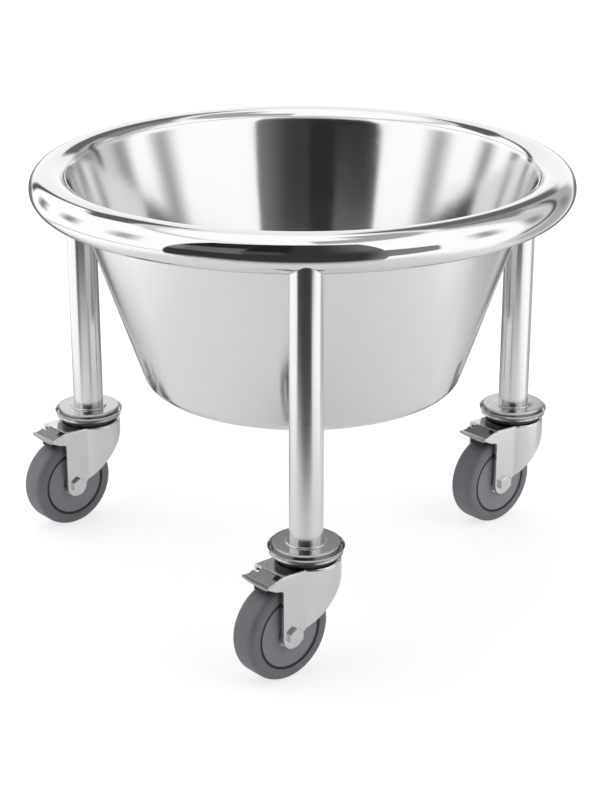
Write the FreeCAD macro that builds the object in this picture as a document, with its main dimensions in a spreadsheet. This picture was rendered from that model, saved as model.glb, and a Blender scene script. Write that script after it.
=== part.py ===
import FreeCAD, Part
import math
import os

import Sketcher

# A surgical kick bucket: a tapered steel bucket that hangs in a tubular ring, on three tube legs with
# swivel casters. Millimetres, +Z up. The origin is on the bucket's axis at floor level, and the front
# leg stands towards -Y.
#
# The parts of one caster are modelled in the caster's own frame: its origin lies on the floor under the
# kingpin, +X points along the trail to the wheel, and +Y points out of the side with the bolt's head.
# The parts on the axle are modelled about the axle's centre instead, with the same directions.

doc = FreeCAD.newDocument("kick_bucket")

SIZES = (
    ("ring_radius", 198, "ring: radius of the tube's centreline"),
    ("ring_tube_diameter", 30, "ring: outer diameter of the tube"),
    ("ring_tube_wall", 1.5, "ring: wall of the tube"),
    ("vent_diameter", 6, "ring: hole into each leg"),
    ("leg_rise", 218, "legs: from the foot flange up to the ring's centreline"),
    ("leg_tube_diameter", 25, "legs: outer diameter of the tube"),
    ("leg_tube_wall", 1.5, "legs: wall of the tube"),
    ("leg_offset", 1, "legs: how far their centres stand outside the ring's centreline"),
    ("side_leg_angle", 113.5, "legs: from the front leg round to each side leg, in degrees"),
    ("weld_gap", 0.05, "legs: gap that the welds close"),
    ("bucket_depth", 163.5, "bucket: from the ring's centreline down to the base"),
    ("bucket_base_radius", 125.5, "bucket: outer radius where wall and base would meet"),
    ("bucket_sheet", 1, "bucket: thickness of the sheet"),
    ("bucket_corner_radius", 12, "bucket: outer radius of the bottom edge"),
    ("lip_angle", 33, "bucket: how far up the ring's inner side the lip reaches, in degrees"),
    ("lip_flat", 0.6, "bucket: straight end of the lip"),
    ("seat_gap", 0.3, "bucket: gap between the lip and the ring"),
    ("flange_diameter", 57, "foot flange: diameter"),
    ("flange_thickness", 7.6, "foot flange: thickness"),
    ("flange_edge_radius", 2.8, "foot flange: rounding of the upper edge"),
    ("flange_foot_radius", 1.2, "foot flange: rounding of the lower edge"),
    ("collar_width", 3, "foot flange: width of the weld collar round the leg"),
    ("collar_height", 1.2, "foot flange: height of the weld collar"),
    ("collar_edge_radius", 0.8, "foot flange: rounding of the weld collar"),
    ("kingpin_diameter", 10, "kingpin: diameter of the bolt"),
    ("kingpin_clearance", 0.25, "kingpin: gap to what it holds"),
    ("kingpin_head_diameter", 16, "kingpin: diameter of the head"),
    ("kingpin_head_height", 4, "kingpin: height of the head"),
    ("kingpin_edge_radius", 1, "kingpin: rounding of the head"),
    ("thread_gap", 0.05, "kingpin and axle bolt: gap that the threads close"),
    ("plug_length", 26, "leg plug: length inside the leg"),
    ("upper_ball_diameter", 2.6, "swivel: diameter of the upper balls"),
    ("upper_ball_circle", 15, "swivel: radius of the upper balls' circle"),
    ("upper_ball_count", 20, "swivel: number of upper balls"),
    ("lower_ball_diameter", 4, "swivel: diameter of the lower balls"),
    ("lower_ball_circle", 12, "swivel: radius of the lower balls' circle"),
    ("lower_ball_count", 14, "swivel: number of lower balls"),
    ("ball_play", 0.2, "swivel: gap above and below each ball"),
    ("race_thickness", 2, "lower race: thickness"),
    ("race_margin", 1.5, "lower race: how far it reaches past the balls"),
    ("seal_wall", 3.5, "dust seal: thickness of the skirt"),
    ("seal_gap", 1, "dust seal: gap to the fork's dome and crown"),
    ("trailing_angle", 40, "casters: direction of the wheels, from -X towards -Y, in degrees"),
    ("caster_trail", 25, "caster: from the kingpin to the axle"),
    ("wheel_clearance", 9.8, "caster: from the tyre up to the crown's underside"),
    ("fork_sheet", 2.5, "fork: thickness of the sheet"),
    ("fork_gap", 28, "fork: between the cheeks"),
    ("fork_head_radius", 23.8, "fork: radius of the round head"),
    ("fork_head_setback", 3, "fork: how far the head's centre lies behind the kingpin"),
    ("fork_bend", 2, "fork: outer radius of the bent edges"),
    ("fork_crease", 3, "fork: radius where the cheeks leave the head"),
    ("dome_rise", 2.1, "fork: height of the raised race on the crown"),
    ("dome_radius", 19, "fork: radius of the raised race"),
    ("dome_edge_radius", 1.2, "fork: rounding of the raised race"),
    ("crown_bore_diameter", 16, "fork: hole round the kingpin"),
    ("boss_front", 10.4, "fork: from the axle forward to the cheeks' front edge"),
    ("boss_rear", 8.4, "fork: from the axle back to the rear of the bosses"),
    ("boss_drop", 9.8, "fork: from the axle down to the foot of the bosses"),
    ("boss_radius", 9, "fork: rounding of the bosses"),
    ("skirt_height", 7.5, "fork: from the crown down to the rear edge"),
    ("skirt_end_rise", 0.4, "fork: from the axle up to where the slanting edge meets the bosses"),
    ("nose_length", 12.8, "fork: how far the nose reaches past the cheek"),
    ("nose_top_drop", 1.2, "fork: step down from the crown to the top of the nose"),
    ("nose_depth", 11, "fork: from the crown down to where the nose leaves the cheek"),
    ("nose_tip_drop", 5.2, "fork: from the crown down to the top of the nose's tip"),
    ("nose_tip_depth", 1.4, "fork: height of the nose's tip"),
    ("nose_root_radius", 2.5, "fork: rounding under the nose"),
    ("wheel_diameter", 75, "wheel: diameter of the tyre"),
    ("wheel_width", 23, "wheel: width of tyre and hub"),
    ("tread_radius", 5, "tyre: rounding of the shoulders"),
    ("groove_diameter", 54.5, "wheel: mean diameter of the groove between hub and tyre"),
    ("groove_width", 1.3, "wheel: width of the groove"),
    ("groove_depth", 2, "wheel: depth of the groove"),
    ("hub_edge_radius", 0.4, "hub: rounding of its edges"),
    ("hub_clearance", 0.3, "hub: gap round the middle spacer"),
    ("bearing_diameter", 22, "bearings: outer diameter"),
    ("bearing_width", 7, "bearings: width"),
    ("bearing_recess", 1, "bearings: how far they lie below the hub's face"),
    ("axle_diameter", 8, "axle bolt: diameter"),
    ("axle_clearance", 0.06, "axle bolt: running gap to the bearings"),
    ("axle_head_width", 12, "axle bolt and nut: width across the flats"),
    ("axle_head_height", 3.2, "axle bolt: height of the head"),
    ("axle_nut_height", 6, "axle nut: height"),
    ("axle_end", 1.5, "axle bolt: length past the nut"),
    ("hexagon_chamfer", 0.5, "axle bolt and nut: chamfer of the outer face"),
    ("spacer_wall", 2, "axle spacers: wall"),
    ("side_play", 0.15, "axle spacers: gap to the bearings"),
    ("pedal_pin_diameter", 3.2, "pedal pin: diameter"),
    ("pedal_pin_seat", 1.5, "pedal pin: depth of its seats in the cheeks"),
    ("pedal_pin_inset", 1.5, "pedal pin: how far it lies behind the cheeks' front edge"),
    ("pedal_pin_clearance", 0.06, "pedal pin: running gap to the pedal"),
    ("pedal_eye_radius", 3.2, "brake pedal: radius of the eye round the pin"),
    ("pedal_gap", 0.3, "brake pedal: gap to the crown"),
    ("pedal_sheet", 2, "brake pedal: thickness of the plate"),
    ("pedal_sweep", 4, "brake pedal: rounding where the tip starts to rise"),
    ("pedal_root_width", 15.6, "brake pedal: width beside the notches"),
    ("pedal_notch", 4.2, "brake pedal: length of the notches in front of the crown"),
    ("pedal_side_gap", 0.5, "brake pedal: gap to the nose"),
    ("pedal_crown_step", 0.8, "brake pedal: step down from the crown's top to the plate in front of it"),
    ("pedal_root_length", 2.1, "brake pedal: from the crown forward to where its underside falls"),
    ("pedal_slope_length", 10, "brake pedal: from the crown forward to its lowest line"),
    ("pedal_fall", 6, "brake pedal: from the crown's top down to its lowest line"),
    ("pedal_wing_start", 7.1, "brake pedal: from the crown forward to the wing"),
    ("pedal_wing_length", 4.5, "brake pedal: length over which the wing widens"),
    ("pedal_wing_reach", 17, "brake pedal: from its middle out to the wing's end"),
    ("pedal_skew", 2, "brake pedal: how much further out the tip lies beside the nose than at the wing"),
    ("pedal_bow", 1.2, "brake pedal: how far the tip bows out"),
    ("pedal_upturn", 0.4, "brake pedal: rise of the tip"),
    ("shoe_gap", 2.3, "brake shoe: gap to the tyre when it is off"),
    ("shoe_start", 14.8, "brake shoe: near end, from the axle"),
    ("shoe_length", 4, "brake shoe: length"),
    ("shoe_width", 14, "brake shoe: width"),
)

CORNERS = ("front", "left", "right")

# Two levels this close count as the same.
SAME = 1e-3

PLACES = (
    ("leg_circle", "Sizes.ring_radius + Sizes.leg_offset"),
    ("axle_height", "Sizes.wheel_diameter / 2"),
    ("crown_under", "Sizes.wheel_diameter + Sizes.wheel_clearance"),
    ("crown_top", "crown_under + Sizes.fork_sheet"),
    ("dome_under", "crown_under + Sizes.dome_rise"),
    ("dome_top", "crown_top + Sizes.dome_rise"),
    ("flange_bottom", "dome_top + Sizes.upper_ball_diameter + 2 * Sizes.ball_play"),
    ("flange_top", "flange_bottom + Sizes.flange_thickness"),
    ("ring_height", "flange_top + Sizes.leg_rise"),
    ("race_top", "dome_under - Sizes.lower_ball_diameter - 2 * Sizes.ball_play"),
    ("race_bottom", "race_top - Sizes.race_thickness"),
    ("base_height", "ring_height - Sizes.bucket_depth"),
    ("hook_radius", "Sizes.ring_tube_diameter / 2 + Sizes.seat_gap"),
    ("rim_run", "Sizes.ring_radius - Sizes.bucket_base_radius"),
    ("wall_angle", "atan2(rim_run; Sizes.bucket_depth)"
                   " - asin(hook_radius / sqrt(rim_run ^ 2 + Sizes.bucket_depth ^ 2))"),
    ("hook_half_turn", "(Sizes.lip_angle * 1 deg - wall_angle) / 2"),
    ("cheek_inner", "Sizes.fork_gap / 2"),
    ("cheek_outer", "cheek_inner + Sizes.fork_sheet"),
    ("crease_x", "sqrt(Sizes.fork_head_radius ^ 2 - cheek_outer ^ 2) - Sizes.fork_head_setback"),
    ("cheek_front", "Sizes.caster_trail + Sizes.boss_front"),
    ("nose_front", "cheek_front + Sizes.nose_length"),
    ("skirt_bottom", "crown_top - Sizes.skirt_height"),
    ("skirt_rear", "-Sizes.fork_head_setback - Sizes.fork_head_radius"),
    ("boss_back", "Sizes.caster_trail - Sizes.boss_rear"),
    ("boss_bottom", "axle_height - Sizes.boss_drop"),
    ("hub_radius", "(Sizes.groove_diameter - Sizes.groove_width) / 2"),
    ("tyre_face_radius", "(Sizes.groove_diameter + Sizes.groove_width) / 2"),
    ("bearing_outer_face", "Sizes.wheel_width / 2 - Sizes.bearing_recess"),
    ("bearing_inner_face", "bearing_outer_face - Sizes.bearing_width"),
    ("axle_bore_radius", "Sizes.axle_diameter / 2 + Sizes.axle_clearance"),
    ("pin_x", "cheek_front - Sizes.pedal_pin_inset"),
    ("pin_height", "crown_under - Sizes.pedal_gap - Sizes.pedal_eye_radius"),
    ("pedal_top", "crown_under - 2 * Sizes.pedal_gap"),
    ("pedal_plate_start", "cheek_front + Sizes.pedal_gap"),
    ("pedal_plate_top", "crown_top - Sizes.pedal_crown_step"),
    ("pedal_under_start", "cheek_front + Sizes.pedal_root_length"),
    ("pedal_under_top", "pedal_top - Sizes.pedal_sheet"),
    ("pedal_low_x", "cheek_front + Sizes.pedal_slope_length"),
    ("pedal_low_top", "crown_top - Sizes.pedal_fall"),
    ("pedal_low_under", "pedal_low_top - Sizes.pedal_sheet"),
    ("pedal_under_slope", "(pedal_under_top - pedal_low_under) / (pedal_low_x - pedal_under_start)"),
    ("pedal_half_width", "cheek_inner - Sizes.pedal_side_gap"),
    ("pedal_step_end", "cheek_front + Sizes.pedal_notch"),
    ("wing_start", "cheek_front + Sizes.pedal_wing_start"),
    ("wing_end", "wing_start + Sizes.pedal_wing_length"),
    ("pedal_near_end", "wing_end + Sizes.pedal_skew"),
    ("pedal_tip", "pedal_near_end + Sizes.pedal_bow"),
    ("trail_turn", "Sizes.trailing_angle + 180"),
    ("front_turn", "-90"),
    ("right_turn", "Sizes.side_leg_angle - 90"),
    ("left_turn", "-90 - Sizes.side_leg_angle"),
)


def fill_sheets():
    """The driving sizes go on one sheet, and the places that follow from them on another."""
    sheet = doc.addObject("Spreadsheet::Sheet", "Sizes")
    for row, (alias, size, note) in enumerate(SIZES, start=1):
        sheet.set(f"A{row}", note)
        sheet.set(f"B{row}", str(size))
        sheet.setAlias(f"B{row}", alias)
    doc.recompute()
    formulas = list(PLACES)
    for corner in CORNERS:
        formulas += [
            (f"{corner}_x", f"leg_circle * cos({corner}_turn)"),
            (f"{corner}_y", f"leg_circle * sin({corner}_turn)"),
            (f"{corner}_axle_x", f"{corner}_x + Sizes.caster_trail * cos(trail_turn)"),
            (f"{corner}_axle_y", f"{corner}_y + Sizes.caster_trail * sin(trail_turn)"),
        ]
    places = doc.addObject("Spreadsheet::Sheet", "Places")
    for row, (alias, formula) in enumerate(formulas, start=1):
        places.set(f"A{row}", alias.replace("_", " "))
        places.set(f"B{row}", "=" + formula)
        places.setAlias(f"B{row}", alias)
    doc.recompute()
    return places


places = fill_sheets()


def value(expression):
    """What an expression on the sheets comes to now."""
    result = places.evalExpression(str(expression))
    return float(getattr(result, "Value", result))


# ---------------------------------------------------------------------------------------------------
# Sketches


def new_body(label):
    body = doc.addObject("PartDesign::Body", label)
    body.Label = label
    return body


def new_sketch(body, plane, name, offset="0"):
    """A sketch on one of the body's own planes, moved along the plane's normal by offset."""
    sketch = body.newObject("Sketcher::SketchObject", name)
    origin_plane = next(item for item in body.Origin.OriginFeatures if item.Role == plane + "_Plane")
    sketch.AttachmentSupport = [(origin_plane, "")]
    sketch.MapMode = "FlatFace"
    sketch.setExpression("AttachmentOffset.Base.z", offset)
    return sketch


def bound(sketch, kind, *where_and_size):
    """Adds a constraint whose size, given last, is an expression on the sheets."""
    *where, expression = where_and_size
    index = sketch.addConstraint(Sketcher.Constraint(kind, *where, value(expression)))
    sketch.setExpression(f"Constraints[{index}]", str(expression))


def pin_down(sketch, geometry, vertex, x, y):
    bound(sketch, "DistanceX", -1, 1, geometry, vertex, x)
    bound(sketch, "DistanceY", -1, 1, geometry, vertex, y)


def circle(sketch, x, y, radius):
    centre = FreeCAD.Vector(value(x), value(y), 0)
    geometry = sketch.addGeometry(Part.Circle(centre, FreeCAD.Vector(0, 0, 1), value(radius)))
    pin_down(sketch, geometry, 3, x, y)
    bound(sketch, "Radius", geometry, radius)


def arc_through(start, end, centre, clockwise):
    """An arc between two points. Sketch arcs always run anticlockwise, so a clockwise one is stored
    from its end to its start."""
    first, last = (end, start) if clockwise else (start, end)
    angles = [math.atan2(point.y - centre.y, point.x - centre.x) for point in (first, last)]
    if angles[1] <= angles[0]:
        angles[1] += 2 * math.pi
    base = Part.Circle(centre, FreeCAD.Vector(0, 0, 1), (start - centre).Length)
    return Part.ArcOfCircle(base, *angles)


def outline(sketch, corners):
    """A closed outline. A corner is (x, y), or (x, y, rounding), or (x, y, None, bow), where bow is the
    radius of an arc that bulges outwards on its way to the next corner of an anticlockwise outline,
    and inwards if bow starts with a minus."""
    corners = [tuple(corner) + (None,) * (4 - len(corner)) for corner in corners]
    points = [FreeCAD.Vector(value(x), value(y), 0) for x, y, _, _ in corners]
    count = len(corners)
    starts, ends, centres = list(points), list(points), {}
    for i, (_, _, rounding, _) in enumerate(corners):
        if rounding is None:
            continue
        back = (points[i - 1] - points[i]).normalize()
        ahead = (points[(i + 1) % count] - points[i]).normalize()
        half = back.getAngle(ahead) / 2
        reach = value(rounding) / math.tan(half)
        ends[i], starts[i] = points[i] + back * reach, points[i] + ahead * reach
        centres[i] = points[i] + (back + ahead).normalize() * (value(rounding) / math.sin(half))

    sides = []
    for i, (_, _, _, bow) in enumerate(corners):
        start, end = starts[i], ends[(i + 1) % count]
        if bow is None:
            sides.append((sketch.addGeometry(Part.LineSegment(start, end)), 1, 2))
            continue
        inward = bow.startswith("-")
        radius = value(bow.lstrip("-"))
        chord = end - start
        left = FreeCAD.Vector(-chord.y, chord.x, 0).normalize()
        height = math.sqrt(radius ** 2 - (chord.Length / 2) ** 2)
        centre = (start + end) * 0.5 + left * (-height if inward else height)
        side = sketch.addGeometry(arc_through(start, end, centre, inward))
        sides.append((side, 2, 1) if inward else (side, 1, 2))
        bound(sketch, "Radius", side, bow.lstrip("-"))

    for i, (x, y, rounding, _) in enumerate(corners):
        before, _, before_end = sides[i - 1]
        after, after_start, _ = sides[i]
        if rounding is None:
            sketch.addConstraint(Sketcher.Constraint("Coincident", before, before_end, after, after_start))
            pin_down(sketch, after, after_start, x, y)
            continue
        turn = (points[i] - points[i - 1]).cross(points[(i + 1) % count] - points[i]).z
        arc = sketch.addGeometry(arc_through(ends[i], starts[i], centres[i], turn < 0))
        first, last = (2, 1) if turn < 0 else (1, 2)
        sketch.addConstraint(Sketcher.Constraint("Tangent", before, before_end, arc, first))
        sketch.addConstraint(Sketcher.Constraint("Tangent", arc, last, after, after_start))
        bound(sketch, "Radius", arc, rounding)
        corner = sketch.addGeometry(Part.Point(points[i]), True)
        pin_down(sketch, corner, 1, x, y)
        sketch.addConstraint(Sketcher.Constraint("PointOnObject", corner, 1, before))
        sketch.addConstraint(Sketcher.Constraint("PointOnObject", corner, 1, after))


def rectangle(sketch, left, bottom, right, top):
    outline(sketch, ((left, bottom), (right, bottom), (right, top), (left, top)))


def hexagon(sketch, across_flats):
    corner = f"{across_flats} / 2 / cos(30)"
    turns = range(30, 390, 60)
    outline(sketch, [(f"{corner} * cos({turn})", f"{corner} * sin({turn})") for turn in turns])


# ---------------------------------------------------------------------------------------------------
# Features


def pad(body, profile, length, symmetric=False, reverse=False):
    feature = body.newObject("PartDesign::Pad", profile.Name + "_pad")
    feature.Profile = profile
    feature.SideType = "Symmetric" if symmetric else "One side"
    feature.Reversed = reverse
    feature.setExpression("Length", length)
    return feature


def removed(body, feature, before):
    """Builds a cut and makes sure that it took something away."""
    doc.recompute()
    if feature.Shape.isNull() or feature.Shape.Volume >= before:
        raise RuntimeError(f"{body.Label}: {feature.Name} removes nothing")
    return feature


def pocket(body, profile, length=None, symmetric=False, reverse=False):
    """Cuts by length, or right through where no length is given."""
    doc.recompute()
    before = body.Shape.Volume
    feature = body.newObject("PartDesign::Pocket", profile.Name + "_pocket")
    feature.Profile = profile
    feature.SideType = "Symmetric" if symmetric else "One side"
    feature.Reversed = reverse
    if length is None:
        feature.Type = "ThroughAll"
    else:
        feature.setExpression("Length", length)
    return removed(body, feature, before)


def revolve(body, profile):
    """Turns a profile about its sketch's vertical axis."""
    feature = body.newObject("PartDesign::Revolution", profile.Name + "_turned")
    feature.Profile = profile
    feature.ReferenceAxis = (profile, ["V_Axis"])
    feature.Angle = 360
    return feature


def groove(body, profile):
    doc.recompute()
    before = body.Shape.Volume
    feature = body.newObject("PartDesign::Groove", profile.Name + "_groove")
    feature.Profile = profile
    feature.ReferenceAxis = (profile, ["V_Axis"])
    feature.Angle = 360
    return removed(body, feature, before)


def dress(body, kind, size_name, size, chosen):
    """A fillet or a chamfer on the edges of the last feature that chosen picks."""
    doc.recompute()
    base = body.Tip
    names = [f"Edge{i}" for i, edge in enumerate(base.Shape.Edges, start=1) if chosen(edge)]
    if not names:
        raise RuntimeError(f"{body.Label}: no edge to dress")
    feature = body.newObject("PartDesign::" + kind, f"{kind.lower()}_{size_name}")
    feature.Base = (base, names)
    feature.setExpression(size_name, size)
    return feature


def flat_at(edge, axis, level):
    """True if the whole edge lies at this level along an axis."""
    box = edge.BoundBox
    low, high = getattr(box, axis + "Min"), getattr(box, axis + "Max")
    return abs(low - level) < SAME and abs(high - level) < SAME


# ---------------------------------------------------------------------------------------------------
# Places in the whole object


def turn_about_axis(body, corner):
    """Turns a part that was modelled on +X round to its corner of the ring."""
    body.Placement = FreeCAD.Placement(FreeCAD.Vector(), FreeCAD.Rotation(FreeCAD.Vector(0, 0, 1), 1))
    body.setExpression("Placement.Rotation.Angle", f"Places.{corner}_turn * 1 deg")


def put_on_caster(body, corner, on_axle=False):
    """Sets a part modelled in the caster's frame, or about its axle, in its place."""
    centre = f"Places.{corner}_axle" if on_axle else f"Places.{corner}"
    body.Placement = FreeCAD.Placement(FreeCAD.Vector(), FreeCAD.Rotation(FreeCAD.Vector(0, 0, 1), 1))
    body.setExpression("Placement.Rotation.Angle", "Places.trail_turn * 1 deg")
    body.setExpression("Placement.Base.x", centre + "_x")
    body.setExpression("Placement.Base.y", centre + "_y")
    if on_axle:
        body.setExpression("Placement.Base.z", "Places.axle_height")


# ---------------------------------------------------------------------------------------------------
# Bucket, ring and legs


def make_bucket():
    """Spun bowl. Its wall runs tangent into the lip, which lies round the ring's inner shoulder."""
    body = new_body("bucket")
    profile = new_sketch(body, "XZ", "bucket_profile")
    wall = "Places.wall_angle"
    lip = "(Sizes.lip_angle * 1 deg)"
    sheet = "Sizes.bucket_sheet"

    def bend(radius):
        """Where the wall would meet the lip's end, if the bend of this radius were a sharp corner."""
        reach = f"{radius} * tan(Places.hook_half_turn)"
        x = f"Sizes.ring_radius - {radius} * cos({wall}) + {reach} * sin({wall})"
        y = f"Places.ring_height + {radius} * sin({wall}) + {reach} * cos({wall})"
        return x, y, reach

    outer_x, outer_y, outer_reach = bend("Places.hook_radius")
    inner_x, inner_y, _ = bend(f"(Places.hook_radius + {sheet})")
    end_x = f"{outer_x} + ({outer_reach} + Sizes.lip_flat) * sin({lip})"
    end_y = f"{outer_y} + ({outer_reach} + Sizes.lip_flat) * cos({lip})"
    outline(profile, (
        ("0", "Places.base_height"),
        ("Sizes.bucket_base_radius", "Places.base_height", "Sizes.bucket_corner_radius"),
        (outer_x, outer_y, "Places.hook_radius"),
        (end_x, end_y),
        (f"{end_x} - {sheet} * cos({lip})", f"{end_y} + {sheet} * sin({lip})"),
        (inner_x, inner_y, f"Places.hook_radius + {sheet}"),
        (f"Sizes.bucket_base_radius + {sheet} * tan({wall}) - {sheet} / cos({wall})",
         f"Places.base_height + {sheet}", f"Sizes.bucket_corner_radius - {sheet}"),
        ("0", f"Places.base_height + {sheet}"),
    ))
    revolve(body, profile)
    return body


def make_ring():
    """Tube bent into a full circle, with a small hole down into each leg."""
    body = new_body("ring_tube")
    profile = new_sketch(body, "XZ", "ring_section")
    outer = "Sizes.ring_tube_diameter / 2"
    circle(profile, "Sizes.ring_radius", "Places.ring_height", outer)
    circle(profile, "Sizes.ring_radius", "Places.ring_height", f"{outer} - Sizes.ring_tube_wall")
    revolve(body, profile)
    vents = new_sketch(body, "XY", "ring_vents")
    for corner in CORNERS:
        circle(vents, f"Places.{corner}_x", f"Places.{corner}_y", "Sizes.vent_diameter / 2")
    pocket(body, vents, "Places.ring_height", reverse=True)
    return body


def make_leg(corner):
    """Straight tube, coped at its top to fit under the ring."""
    body = new_body(f"{corner}_leg")
    section = new_sketch(body, "XY", f"{corner}_leg_section", "Places.flange_top")
    outer = "Sizes.leg_tube_diameter / 2"
    circle(section, "Places.leg_circle", "0", outer)
    circle(section, "Places.leg_circle", "0", f"{outer} - Sizes.leg_tube_wall")
    pad(body, section, "Sizes.leg_rise")
    cope = new_sketch(body, "XZ", f"{corner}_leg_cope")
    circle(cope, "Sizes.ring_radius", "Places.ring_height", "Sizes.ring_tube_diameter / 2 + Sizes.weld_gap")
    groove(body, cope)
    turn_about_axis(body, corner)
    return body


# ---------------------------------------------------------------------------------------------------
# Foot flange and swivel


def make_foot_flange(corner):
    """Round plate with a rounded rim. A low weld collar stands round the leg."""
    body = new_body(f"{corner}_foot_flange")
    profile = new_sketch(body, "XZ", f"{corner}_flange_profile")
    rim = "Sizes.flange_diameter / 2"
    bore = "Sizes.kingpin_diameter / 2 + Sizes.kingpin_clearance"
    collar_in = "Sizes.leg_tube_diameter / 2 + Sizes.weld_gap"
    collar_out = f"{collar_in} + Sizes.collar_width"
    collar_top = "Places.flange_top + Sizes.collar_height"
    outline(profile, (
        (bore, "Places.flange_bottom"),
        (rim, "Places.flange_bottom", "Sizes.flange_foot_radius"),
        (rim, "Places.flange_top", "Sizes.flange_edge_radius"),
        (collar_out, "Places.flange_top"),
        (collar_out, collar_top, "Sizes.collar_edge_radius"),
        (collar_in, collar_top),
        (collar_in, "Places.flange_top"),
        (bore, "Places.flange_top"),
    ))
    revolve(body, profile)
    put_on_caster(body, corner)
    return body


def make_leg_plug(corner):
    """Insert pressed into the foot of the leg, which the kingpin screws into."""
    body = new_body(f"{corner}_leg_plug")
    section = new_sketch(body, "XY", f"{corner}_plug_section", "Places.flange_top")
    circle(section, "0", "0", "Sizes.leg_tube_diameter / 2 - Sizes.leg_tube_wall - Sizes.weld_gap")
    circle(section, "0", "0", "Sizes.kingpin_diameter / 2 + Sizes.thread_gap")
    pad(body, section, "Sizes.plug_length")
    put_on_caster(body, corner)
    return body


def make_kingpin_bolt(corner):
    """Holds the lower race, the fork and the flange together and screws up into the leg plug."""
    body = new_body(f"{corner}_kingpin_bolt")
    profile = new_sketch(body, "XZ", f"{corner}_kingpin_profile")
    shank = "Sizes.kingpin_diameter / 2"
    head = "Sizes.kingpin_head_diameter / 2"
    head_bottom = "Places.race_bottom - Sizes.kingpin_head_height"
    top = "Places.flange_top + Sizes.plug_length"
    outline(profile, (
        ("0", head_bottom),
        (head, head_bottom, "Sizes.kingpin_edge_radius"),
        (head, "Places.race_bottom"),
        (shank, "Places.race_bottom"),
        (shank, top),
        ("0", top),
    ))
    revolve(body, profile)
    put_on_caster(body, corner)
    return body


def make_lower_race(corner):
    body = new_body(f"{corner}_lower_race")
    section = new_sketch(body, "XY", f"{corner}_race_section", "Places.race_bottom")
    circle(section, "0", "0", "Sizes.lower_ball_circle + Sizes.lower_ball_diameter / 2 + Sizes.race_margin")
    circle(section, "0", "0", "Sizes.kingpin_diameter / 2 + Sizes.kingpin_clearance")
    pad(body, section, "Sizes.race_thickness")
    put_on_caster(body, corner)
    return body


def make_dust_seal(corner):
    """Dark skirt under the flange that covers the upper balls and clears the turning fork."""
    body = new_body(f"{corner}_dust_seal")
    section = new_sketch(body, "XY", f"{corner}_seal_section", "Places.crown_top + Sizes.seal_gap")
    inner = "Sizes.dome_radius + Sizes.seal_gap"
    circle(section, "0", "0", f"{inner} + Sizes.seal_wall")
    circle(section, "0", "0", inner)
    pad(body, section, "Places.flange_bottom - Places.crown_top - Sizes.seal_gap")
    put_on_caster(body, corner)
    return body


def make_balls(corner, name, under, size):
    """A ring of loose balls that stand on the level called under."""
    body = new_body(f"{corner}_{name}")
    body.AllowCompound = True
    ball = body.newObject("PartDesign::AdditiveSphere", f"{corner}_{name}_ball")
    ball.setExpression("Radius", f"Sizes.{size}_diameter / 2")
    ball.setExpression("AttachmentOffset.Base.x", f"Sizes.{size}_circle")
    ball.setExpression("AttachmentOffset.Base.z", f"{under} + Sizes.ball_play + Sizes.{size}_diameter / 2")
    plane = next(item for item in body.Origin.OriginFeatures if item.Role == "XY_Plane")
    ball.AttachmentSupport = [(plane, "")]
    ball.MapMode = "FlatFace"
    doc.recompute()
    pattern = body.newObject("PartDesign::PolarPattern", f"{corner}_{name}_pattern")
    pattern.Originals = [ball]
    axis = next(item for item in body.Origin.OriginFeatures if item.Role == "Z_Axis")
    pattern.Axis = (axis, [""])
    pattern.Angle = 360
    pattern.setExpression("Occurrences", f"Sizes.{size}_count")
    body.Tip = pattern
    put_on_caster(body, corner)
    return body


# ---------------------------------------------------------------------------------------------------
# Fork


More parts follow.
